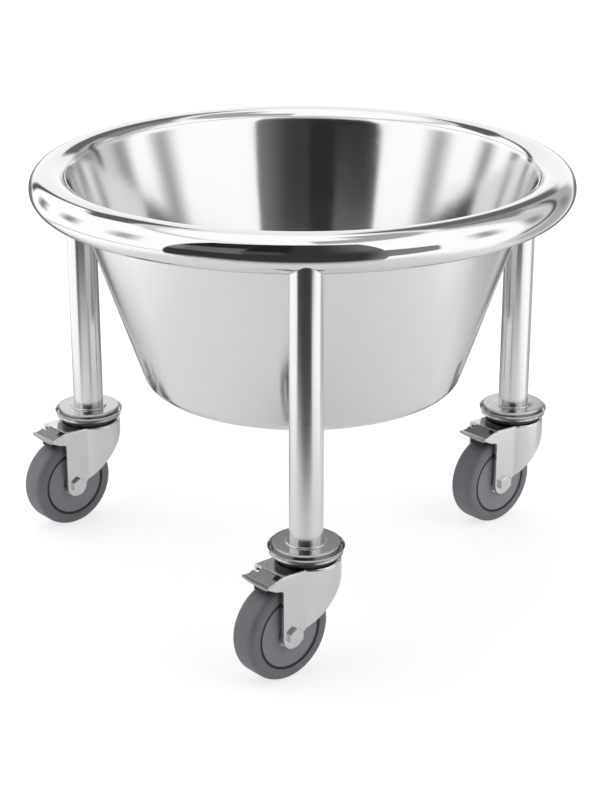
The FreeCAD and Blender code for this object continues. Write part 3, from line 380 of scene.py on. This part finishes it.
class KickBucketSizes(bpy.types.PropertyGroup):
    """Sizes of the parts that a user would change, in metres."""
    sheet: length("Bucket sheet", 1, "Thickness of the bucket's sheet")
    base_radius: length("Base radius", 125.5, "Outer radius where the bucket's wall and base would meet")
    base_rounding: length("Base rounding", 12, "Outer radius of the bucket's bottom edge")
    seat_gap: length("Seat gap", 0.3, "Gap between the bucket's lip and the ring")
    lip_flat: length("Lip end", 0.6, "Straight end of the bucket's lip")
    lip_angle: FloatProperty(name="Lip angle", description="How far up the ring's inner side the lip reaches",
                             subtype="ANGLE", default=radians(33))
    collar: length("Weld collar", 3, "Width of the weld collar round a leg's foot")
    rim: length("Flange rim", 2.8, "Rounding of the foot flange's upper edge")
    rim_foot: length("Flange foot", 1.2, "Rounding of the foot flange's lower edge")
    rim_line: length("Rim line", 0.5, "Width of the fine line pressed inside the flange's rim")
    tread: length("Tread shoulder", 5, "Rounding of the tyre's shoulders")
    groove_diameter: length("Groove diameter", 54.5, "Mean diameter of the groove between hub and tyre")
    groove: length("Groove width", 2.1, "Width of the groove between hub and tyre")
    groove_depth: length("Groove depth", 2, "Depth of the groove between hub and tyre")
    # The black ring is painted shade that fills the groove between hub and tyre.
    shade_ring_depth: length("Black ring depth", 0.4, "Depth of the black ring below the wheel's face")
    edge: length("Sheet edge", 0.25, "Rounding of the edges of pressed sheet")
    spin_steps: IntProperty(name="Spin steps", description="Facets round the ring and the bucket",
                            default=256, min=32, max=512)


class KickBucketColours(bpy.types.PropertyGroup):
    """Colours of the finishes."""
    steel: colour("Stainless steel", "#d8d8d8", "Polished and spun stainless steel")
    flange: colour("Flange steel", "#bcbcbc", "Pressed stainless steel of the foot flanges")
    zinc: colour("Zinc plating", "#d6d6d6", "Bright zinc plated forks and bolts")
    pedal: colour("Pedal plating", "#a4a4a4", "Zinc plated brake pedals")
    inner_steel: colour("Inner steel", "#c8c8c8", "Bearings, races and balls")
    rubber: colour("Tyre rubber", "#75757a", "Grey rubber of the tyres")
    hub: colour("Hub nylon", "#8a8a8f", "Grey nylon of the hubs")
    # Black also paints the shade in the groove beside the hub, as well as colouring the seals and brake shoes.
    black: colour("Black parts", "#161616", "Seals, brake shoes and the groove beside the hub")
    floor: colour("Floor", "#fafafa", "Studio floor")


# ---------------------------------------------------------------------------------------------------
# Pieces


class KICKBUCKET_OT_ring(bpy.types.Operator):
    """Adds the polished tube ring"""
    bl_idname = "kick_bucket.ring"
    bl_label = "Ring"

    def execute(self, context):
        sides = 72
        section = [(RING_RADIUS + TUBE_RADIUS * cos(FULL_TURN * i / sides),
                    RING_HEIGHT + TUBE_RADIUS * sin(FULL_TURN * i / sides)) for i in range(sides)]
        bm = spun(section, context.scene.kick_bucket_sizes.spin_steps)
        finished(bm, "ring", "frame", ["ring_tube"], finish("mirror_stainless"))
        return {"FINISHED"}


class KICKBUCKET_OT_bucket(bpy.types.Operator):
    """Adds the spun bucket, whose lip hangs over the ring's inner shoulder"""
    bl_idname = "kick_bucket.bucket"
    bl_label = "Bucket"

    def execute(self, context):
        sizes = context.scene.kick_bucket_sizes
        sheet, lip, base = sizes.sheet, sizes.lip_angle, sizes.base_radius
        hook = TUBE_RADIUS + sizes.seat_gap
        run, drop = RING_RADIUS - base, RING_HEIGHT - BUCKET_BASE
        wall = atan2(run, drop) - asin(hook / hypot(run, drop))
        half = (lip - wall) / 2

        def bend(radius):
            reach = radius * tan(half)
            return Vector((RING_RADIUS - radius * cos(wall) + reach * sin(wall),
                           RING_HEIGHT + radius * sin(wall) + reach * cos(wall)))

        outer, inner = bend(hook), bend(hook + sheet)
        end = outer + Vector((sin(lip), cos(lip))) * (hook * tan(half) + sizes.lip_flat)
        thickness = Vector((-cos(lip), sin(lip))) * sheet
        edge = 0.4 * sheet
        profile = turned_profile((
            (0, BUCKET_BASE),
            (base, BUCKET_BASE, sizes.base_rounding),
            (*outer, hook),
            (*end, edge),
            (*(end + thickness), edge),
            (*inner, hook + sheet),
            (base + sheet * tan(wall) - sheet / cos(wall), BUCKET_BASE + sheet, sizes.base_rounding - sheet),
            (0, BUCKET_BASE + sheet),
        ), run=6 * MM)
        # The last run closes the profile along the axis, where there is nothing to spin.
        profile = [point for point in profile if point.x > 0 or point.y in (BUCKET_BASE, BUCKET_BASE + sheet)]
        bm = spun(profile, sizes.spin_steps, closed=False)
        finished(bm, "bucket_bowl", "bucket", ["bucket"], finish("spun_stainless"))
        return {"FINISHED"}


def under_ring(x, y):
    """Height of the ring's underside over a point."""
    return RING_HEIGHT - sqrt(max(0, TUBE_RADIUS ** 2 - (hypot(x, y) - RING_RADIUS) ** 2))


class KICKBUCKET_OT_legs(bpy.types.Operator):
    """Adds the three tube legs, coped under the ring"""
    bl_idname = "kick_bucket.legs"
    bl_label = "Legs"

    def execute(self, context):
        sides, coped = 96, 20 * MM
        straight = RING_HEIGHT - TUBE_RADIUS - coped
        for corner in CORNERS:
            place = caster_frame(corner)
            bm = bmesh.new()
            bmesh.ops.create_cone(bm, segments=sides, radius1=LEG_RADIUS, radius2=LEG_RADIUS,
                                  depth=straight - LEG_FOOT, cap_ends=False,
                                  matrix=place @ Matrix.Translation((0, 0, (straight + LEG_FOOT) / 2)))
            top = [edge for edge in bm.edges if all(vert.co.z > straight - MM for vert in edge.verts)]
            risen = bmesh.ops.extrude_edge_only(bm, edges=top)["geom"]
            for vert in risen:
                if isinstance(vert, bmesh.types.BMVert):
                    vert.co.z = under_ring(vert.co.x, vert.co.y)
            bmesh.ops.recalc_face_normals(bm, faces=bm.faces)
            finished(bm, f"{corner}_leg_tube", "frame", [f"{corner}_leg"],
                     finish("satin_stainless"))
        return {"FINISHED"}


class KICKBUCKET_OT_feet(bpy.types.Operator):
    """Adds the round foot flanges and the dark seals under them"""
    bl_idname = "kick_bucket.feet"
    bl_label = "Foot flanges"

    def execute(self, context):
        sizes = context.scene.kick_bucket_sizes
        low, top = FLANGE_LOW.z, LEG_FOOT
        collar_top = FLANGE_HIGH.z
        line = FLANGE_RADIUS - sizes.rim - 0.2 * MM
        collar = LEG_RADIUS + sizes.collar
        seal_low, seal_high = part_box("front_dust_seal")
        seal_radius = (seal_high.x - seal_low.x) / 2
        seal_wall, bolt_hole, weld_gap = 3.5 * MM, 5.25 * MM, 0.05 * MM
        for corner in CORNERS:
            place = caster_frame(corner)
            profile = turned_profile((
                (bolt_hole, low), (FLANGE_RADIUS, low, sizes.rim_foot), (FLANGE_RADIUS, top, sizes.rim),
                (line, top, 0.15 * MM), (line - sizes.rim_line / 2, top - sizes.rim_line),
                (line - sizes.rim_line, top, 0.15 * MM), (collar, top, 0.3 * MM),
                (collar - 0.3 * MM, collar_top, 1.1 * MM),
                (LEG_RADIUS + weld_gap, collar_top), (LEG_RADIUS + weld_gap, top), (bolt_hole, top),
            ), run=4 * MM)
            finished(spun(profile, 128, place), f"{corner}_flange_disc", "frame", [f"{corner}_foot_flange"],
                     finish("pressed_stainless"))
            profile = turned_profile((
                (seal_radius - seal_wall, seal_low.z), (seal_radius, seal_low.z, 0.4 * MM),
                (seal_radius, seal_high.z), (seal_radius - seal_wall, seal_high.z),
            ))
            finished(spun(profile, 96, place), f"{corner}_seal_skirt", "frame", [f"{corner}_dust_seal"],
                     finish("black_nylon"))
        return {"FINISHED"}


class KICKBUCKET_OT_forks(bpy.types.Operator):
    """Adds the pressed forks of the casters"""
    bl_idname = "kick_bucket.forks"
    bl_label = "Forks"

    def execute(self, context):
        edge = context.scene.kick_bucket_sizes.edge
        for corner in CORNERS:
            bm = rounded_copy(f"{corner}_fork", edge)
            weighted(finished(bm, f"{corner}_yoke", f"{corner}_caster", [f"{corner}_fork"],
                              finish("zinc_sheet")))
        return {"FINISHED"}


class KICKBUCKET_OT_brakes(bpy.types.Operator):
    """Adds the foot brakes: pedal and shoe"""
    bl_idname = "kick_bucket.brakes"
    bl_label = "Foot brakes"

    def execute(self, context):
        edge = context.scene.kick_bucket_sizes.edge
        for corner in CORNERS:
            bm = rounded_copy(f"{corner}_brake_pedal", edge)
            weighted(finished(bm, f"{corner}_pedal_plate", f"{corner}_pedal", [f"{corner}_brake_pedal"],
                              finish("zinc_plate")))
            bm = rounded_copy(f"{corner}_brake_shoe", edge)
            weighted(finished(bm, f"{corner}_shoe_block", f"{corner}_pedal", [f"{corner}_brake_shoe"],
                              finish("black_rubber_and_groove_shade")))
        return {"FINISHED"}


class KICKBUCKET_OT_wheels(bpy.types.Operator):
    """Adds the rubber tyres and their hubs, with painted shade in the groove between them"""
    bl_idname = "kick_bucket.wheels"
    bl_label = "Wheels"

    def execute(self, context):
        sizes = context.scene.kick_bucket_sizes
        side, seat, web, bore = 11.5 * MM, 11 * MM, 3.5 * MM, 6.3 * MM
        hub = (sizes.groove_diameter - sizes.groove) / 2
        face = (sizes.groove_diameter + sizes.groove) / 2
        step = side - sizes.groove_depth
        for corner in CORNERS:
            place = axle_frame(corner)
            half = [
                (face, step), (face, side, 0.4 * MM), (face + 4 * MM, side),
                (WHEEL_RADIUS, side, sizes.tread), (WHEEL_RADIUS, 0.5 * MM),
                (WHEEL_RADIUS, 0),
            ]
            profile = half + [(x, -z, *more) for x, z, *more in reversed(half[:-1])]
            bm = spun(turned_profile(profile, run=4 * MM), 128, place)
            finished(bm, f"{corner}_rubber_tyre", f"{corner}_wheel", [f"{corner}_tyre"],
                     finish("tyre_rubber"))
            profile = turned_profile((
                (bore, -web), (seat, -web), (seat, -side, 0.3 * MM), (hub, -side, 0.4 * MM),
                (hub, side, 0.4 * MM), (seat, side, 0.3 * MM), (seat, web), (bore, web),
            ), run=4 * MM)
            finished(spun(profile, 128, place), f"{corner}_hub_disc", f"{corner}_wheel",
                     [f"{corner}_wheel_hub"], finish("grey_nylon"))
            # A black ring just under the wheel's face fills the groove between hub and tyre: painted shade,
            # since the groove is a recess that shade darkens.
            deep = side - sizes.shade_ring_depth
            profile = turned_profile(((hub, -deep), (face, -deep), (face, deep), (hub, deep)))
            finished(spun(profile, 128, place), f"{corner}_groove_painted_shade", f"{corner}_wheel", [],
                     finish("black_rubber_and_groove_shade"))
        return {"FINISHED"}


class KICKBUCKET_OT_fasteners(bpy.types.Operator):
    """Adds the axle bolts and nuts, and finishes the parts inside the casters"""
    bl_idname = "kick_bucket.fasteners"
    bl_label = "Bolts and inner parts"

    def execute(self, context):
        for corner in CORNERS:
            for node, name in (("axle_bolt", "hexagon_bolt"), ("axle_nut", "hexagon_nut")):
                bm = rounded_copy(f"{corner}_{node}", 0.2 * MM)
                weighted(finished(bm, f"{corner}_{name}", f"{corner}_caster", [f"{corner}_{node}"],
                                  finish("zinc_fastener")))
            for node, name in (
                ("leg_plug", "ground_steel"), ("kingpin_bolt", "zinc_fastener"),
                ("lower_race", "ground_steel"), ("upper_balls", "ground_steel"), ("lower_balls", "ground_steel"),
                ("axle_spacers", "ground_steel"), ("wheel_bearings", "ground_steel"),
                ("pedal_pin", "zinc_fastener"),
            ):
                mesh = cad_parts[f"{corner}_{node}"].data
                mesh.materials.clear()
                mesh.materials.append(finish(name))
        return {"FINISHED"}


# ---------------------------------------------------------------------------------------------------
# Studio


def stage_mesh(bm, name, material):
    """Makes the mesh a piece of the stage."""
    mesh = bpy.data.meshes.new(name)
    bm.to_mesh(mesh)
    bm.free()
    mesh.materials.append(material)
    piece = bpy.data.objects.new(name, mesh)
    bpy.context.scene.collection.objects.link(piece)
    return piece


# The room round the object, as panels painted one over the other on a bright ground. Each is given as its
# left and right edge and its low and high edge in degrees, as seen from the object: 0 across is the side
# of the front leg, 90 the right, and 0 up is the horizon. Then come the width of its soft edges, how far
# it leans to the right for each degree up, and its brightness.
ROOM_LIGHT = 1.2
ROOM = (
    # Left wall of light, with the thin frames along its top and bottom.
    (-150, -40, None, 53, 5, 0, 1.42),
    (-150, -60, 53.5, 57, 2.5, 0, 0.85),
    (-150, -60, -26, -22.5, 2.5, 0, 0.9),
    # Right wall of light, which fades towards the back.
    (15, 104, None, 62, 6, 0, 1.42),
    (102, 125, -40, 60, 12, 0, 0.82),
    (122, 148, -40, 36, 8, 0.2, 0.55),
    (118, 152, 35, 60, 6, 0, 0.33),
    (148, 172, 20, 56, 6, 0, 0.18),
    (118, 123, -24, 30, 4, 0.65, 0.14),
    # Posts between the lamps of both walls.
    (73, 85, 2, 24, 12, 0, 0.5),
    (102, 112, -2, 16, 10, 0, 0.42),
    (130, 139, -8, 9, 8, 0, 0.35),
    (-84, -72, 2, 24, 12, 0, 0.55),
    (-115, -105, -2, 16, 10, 0, 0.42),
    (-138, -129, -8, 9, 8, 0, 0.35),
    # The unlit floor at the back.
    (150, None, None, -3, 8, 0, 0.2),
    (None, -150, None, -3, 8, 0, 0.2),
    # Dark stand and flag at the back on the left.
    (-153, -147, -2, 42, 4, 0, 0.12),
    (-165, -125, 38, 52, 4, 0, 0.15),
    # Ceiling of light, with a grey beam on its right.
    (None, None, 60, None, 5, 0, 1.42),
    (8, 152, 63, 79, 6, 0, 0.52),
)

# The dark end of the room on the front leg's side, as a standing sheet: its corners, and its panels in
# metres across and up.
DARK_SHEET_AWAY = -0.9
DARK_SHEET_CORNERS = ((-1.47, -0.6), (0.56, -0.6), (0.54, 0.0), (1.15, 0.0), (1.1, 0.5), (0.49, 0.5),
                      (0.42, 1.4), (-0.79, 1.4))
DARK_SHEET_LIGHT = 0.05
DARK_SHEET = (
    (0.25, None, 0.5, None, 0.35, 0, 0.2),
    (0.45, None, None, 0.5, 0.25, 0, 0.3),
    (-0.34, -0.08, 0.5, None, 0.05, 0, 0.022),
    (None, -0.36, 0.66, 1.4, 0.05, 0, 0.025),
    (None, -0.36, 0.32, 0.74, 0.05, 0, 0.19),
    (None, -0.92, 0.32, 0.74, 0.2, 0, 0.3),
    (-0.36, -0.12, 0.36, 0.55, 0.06, 0, 0.09),
)


def painted(tree, across, up, panels, light):
    """The brightness of panels painted over a light ground, by how far across and up they are."""
    straight = across
    for left, right, low, high, blur, lean, brightness in panels:
        across = straight
        if lean:
            across = add(tree, "Math", {"operation": "MULTIPLY_ADD"}, i0=up, i1=-lean, i2=straight).outputs[0]
        mask = 1.0
        for place, edge, inward in ((across, left, 1), (across, right, -1), (up, low, 1), (up, high, -1)):
            if edge is not None:
                side = add(tree, "MapRange", {"interpolation_type": "SMOOTHSTEP"}, Value=place,
                           From_Min=edge - inward * blur / 2, From_Max=edge + inward * blur / 2)
                mask = add(tree, "Math", {"operation": "MULTIPLY"}, i0=side.outputs[0], i1=mask).outputs[0]
        light = add(tree, "Mix", i0=mask, i2=light, i3=brightness).outputs[0]
    return light


def room_light(tree):
    """The brightness of the room in each direction."""
    ahead = add(tree, "SeparateXYZ", Vector=add(tree, "TexCoord").outputs["Object"])
    back = add(tree, "Math", {"operation": "MULTIPLY"}, i0=ahead.outputs["Y"], i1=-1.0)
    angle = add(tree, "Math", {"operation": "ARCTAN2"}, i0=ahead.outputs["X"], i1=back.outputs[0])
    height = add(tree, "Math", {"operation": "ARCSINE"}, i0=ahead.outputs["Z"])
    across = add(tree, "Math", {"operation": "DEGREES"}, i0=angle.outputs[0])
    up = add(tree, "Math", {"operation": "DEGREES"}, i0=height.outputs[0])
    return painted(tree, across.outputs[0], up.outputs[0], ROOM, ROOM_LIGHT)


class KICKBUCKET_OT_stage(bpy.types.Operator):
    """Adds the floor, the soft light of the room and the camera"""
    bl_idname = "kick_bucket.stage"
    bl_label = "Stage"

    def execute(self, context):
        scene = context.scene

        # A matt white floor that keeps a soft shadow. Only the camera sees it: the steel reflects the
        # paper roll below, and past the paper's faded edges it reflects the room.
        white, tree, output = new_material("white_floor")
        paper = add(tree, "BsdfDiffuse", Color=(0.4, 0.4, 0.4, 1.0))
        even = add(tree, "Emission", Color=(1, 1, 1, 1), Strength=0.72)
        both = add(tree, "AddShader", i0=paper.outputs[0], i1=even.outputs[0])
        tree.links.new(both.outputs[0], output.inputs[0])
        bm = bmesh.new()
        bmesh.ops.create_circle(bm, cap_ends=True, segments=96, radius=4.0)
        floor = stage_mesh(bm, "floor", white)
        floor.visible_diffuse = floor.visible_glossy = False
        floor.visible_transmission = floor.visible_shadow = False

        faded, tree, output = new_material("white_paper")
        place = add(tree, "SeparateXYZ", Vector=add(tree, "TexCoord").outputs["Object"])
        aside = add(tree, "Math", {"operation": "ABSOLUTE"}, i0=place.outputs["X"])
        sides = add(tree, "MapRange", {"interpolation_type": "SMOOTHSTEP"}, Value=aside.outputs[0],
                    From_Min=0.62, From_Max=0.32)
        front = add(tree, "MapRange", {"interpolation_type": "SMOOTHSTEP"}, Value=place.outputs["Y"],
                    From_Min=-0.72, From_Max=-0.42)
        solid = add(tree, "Math", {"operation": "MULTIPLY"}, i0=sides.outputs[0], i1=front.outputs[0])
        # Painted shade: the paper darkens towards the back, down to a fifth of its colour, standing in for the
        # bucket's shadow under its back and behind it, which the steel shows in its reflections.
        painted_back_shade = add(tree, "MapRange", Value=place.outputs["Y"], From_Min=0.05, From_Max=0.45, To_Min=0.0,
                    To_Max=0.8)
        shade = add(tree, "MixRGB", Fac=painted_back_shade.outputs[0], Color1=(*scene.kick_bucket_colours.floor, 1.0),
                    Color2=(0, 0, 0, 1))
        gone = add(tree, "BsdfTransparent")
        paper = add(tree, "BsdfDiffuse", Color=shade.outputs[0])
        # Painted light: the paper also glows at 0.17 of its colour, though it is no lamp, which brightens the
        # floor that the steel reflects.
        painted_glow = add(tree, "Emission", Color=shade.outputs[0], Strength=0.17)
        bright = add(tree, "AddShader", i0=paper.outputs[0], i1=painted_glow.outputs[0])
        mixed = add(tree, "MixShader", i0=solid.outputs[0], i1=gone.outputs[0], i2=bright.outputs[0])
        tree.links.new(mixed.outputs[0], output.inputs[0])
        bm = bmesh.new()
        bmesh.ops.create_grid(bm, size=1.0, matrix=Matrix.Translation((0, 0.4, -0.5 * MM))
                              @ Matrix.Diagonal((1.0, 1.2, 1, 1)))
        roll = stage_mesh(bm, "paper_roll", faded)
        roll.visible_camera = False

        dark, tree, output = new_material("dark_sheet")
        place = add(tree, "SeparateXYZ", Vector=add(tree, "TexCoord").outputs["Object"])
        glow = add(tree, "Emission", Color=(1, 1, 1, 1), Strength=painted(
            tree, place.outputs["X"], place.outputs["Z"], DARK_SHEET, DARK_SHEET_LIGHT))
        tree.links.new(glow.outputs[0], output.inputs[0])
        bm = bmesh.new()
        bm.faces.new([bm.verts.new((x, DARK_SHEET_AWAY, z)) for x, z in DARK_SHEET_CORNERS])
        sheet = stage_mesh(bm, "dark_sheet", dark)
        sheet.visible_camera = False

        world = bpy.data.worlds.new("white_studio")
        world.use_nodes = True
        tree = world.node_tree
        tree.nodes.clear()
        output = tree.nodes.new("ShaderNodeOutputWorld")
        path = add(tree, "LightPath")
        backdrop = add(tree, "Background", Color=(1, 1, 1, 1), Strength=1.0)
        room = add(tree, "Background", Color=(1, 1, 1, 1), Strength=room_light(tree))
        mixed = add(tree, "MixShader", i0=path.outputs["Is Camera Ray"], i1=room.outputs[0],
                    i2=backdrop.outputs[0])
        tree.links.new(mixed.outputs[0], output.inputs[0])
        scene.world = world
        scene.view_settings.view_transform = "Standard"

        lens = bpy.data.cameras.new("camera")
        lens.sensor_fit = "VERTICAL"
        lens.sensor_height = 36.0
        lens.lens = 88.95
        camera = bpy.data.objects.new("camera", lens)
        camera.location = (-0.02111, -1.50756, 0.71059)
        camera.rotation_euler = (pi / 2 - 0.3655, 0, -0.01272)
        scene.collection.objects.link(camera)
        scene.camera = camera
        return {"FINISHED"}


# ---------------------------------------------------------------------------------------------------
# Add-on


OPERATORS = (
    KICKBUCKET_OT_stage, KICKBUCKET_OT_ring, KICKBUCKET_OT_bucket, KICKBUCKET_OT_legs, KICKBUCKET_OT_feet,
    KICKBUCKET_OT_forks, KICKBUCKET_OT_brakes, KICKBUCKET_OT_wheels, KICKBUCKET_OT_fasteners,
)


class KICKBUCKET_PT_panel(bpy.types.Panel):
    """Lists the pieces, the sizes and the colours"""
    bl_idname = "KICKBUCKET_PT_panel"
    bl_label = "Kick Bucket"
    bl_space_type = "VIEW_3D"
    bl_region_type = "UI"
    bl_category = "Kick Bucket"

    def draw(self, context):
        for operator in OPERATORS:
            self.layout.operator(operator.bl_idname)
        for group in (context.scene.kick_bucket_sizes, context.scene.kick_bucket_colours):
            for name in group.bl_rna.properties.keys():
                if name not in ("rna_type", "name"):
                    self.layout.prop(group, name)


CLASSES = (KickBucketSizes, KickBucketColours, *OPERATORS, KICKBUCKET_PT_panel)


def register():
    for item in CLASSES:
        bpy.utils.register_class(item)
    bpy.types.Scene.kick_bucket_sizes = PointerProperty(type=KickBucketSizes)
    bpy.types.Scene.kick_bucket_colours = PointerProperty(type=KickBucketColours)


def unregister():
    del bpy.types.Scene.kick_bucket_colours
    del bpy.types.Scene.kick_bucket_sizes
    for item in reversed(CLASSES):
        bpy.utils.unregister_class(item)


def main():
    register()
    for operator in OPERATORS:
        group, name = operator.bl_idname.split(".")
        getattr(getattr(bpy.ops, group), name)()


if __name__ == "__main__":
    main()
